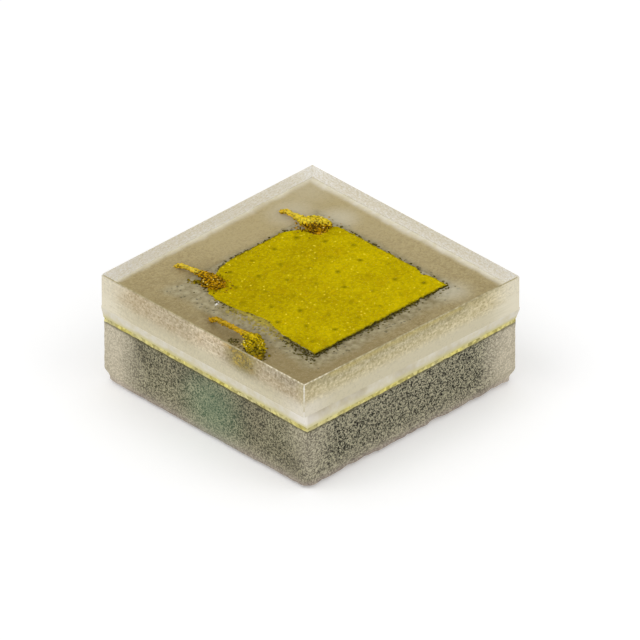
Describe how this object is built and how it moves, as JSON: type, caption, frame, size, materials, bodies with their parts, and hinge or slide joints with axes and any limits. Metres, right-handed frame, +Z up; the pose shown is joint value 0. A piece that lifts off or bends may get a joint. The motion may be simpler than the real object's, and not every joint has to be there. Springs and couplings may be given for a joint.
{
  "type": "smd led",
  "caption": "Square surface mount LED: translucent ceramic base, coated die under clear silicone, white fill round it and solder pads underneath.",
  "frame": {"origin": "centre of the underside of the solder pads, at the middle of the package outline", "axes": "+Z up through the clear face, +Y towards the bond wires' landings, +X away from the small diode, over the anode pad"},
  "size_m": [0.0016, 0.0016, 0.0007],
  "materials": {
    "gold_pad": "satin gold plating",
    "copper_via": "plated copper fill",
    "ceramic": "translucent, sawn",
    "solder": "reflowed",
    "silicon": "sawn crystal",
    "emitter": "thin crystal film over a mirror",
    "contact_metal": "evaporated metal",
    "gold_wire": "bright drawn gold",
    "phosphor": "matt, grainy, sprayed",
    "white_silicone": "matt white",
    "clear_silicone": "smooth top, sawn frosted sides"
  },
  "bodies": {
    "root": {"anode_pad": "gold_pad", "cathode_pad": "gold_pad", "anode_vias": "copper_via", "cathode_vias": "copper_via", "ceramic_substrate": "ceramic", "bond_trace": "gold_pad", "die_attach_pad": "gold_pad", "die_solder": "solder", "led_die": "silicon", "contact_posts": "contact_metal", "emitter_layer": "emitter", "die_bond_pad_1": "gold_pad", "die_bond_pad_2": "gold_pad", "diode_solder": "solder", "esd_diode": "silicon", "diode_bond_pad": "gold_pad", "bond_wire_1": "gold_wire", "bond_wire_2": "gold_wire", "bond_wire_3": "gold_wire", "phosphor_coat": "phosphor", "reflector_fill": "white_silicone", "encapsulant": "clear_silicone"}
  },
  "joints": []
}
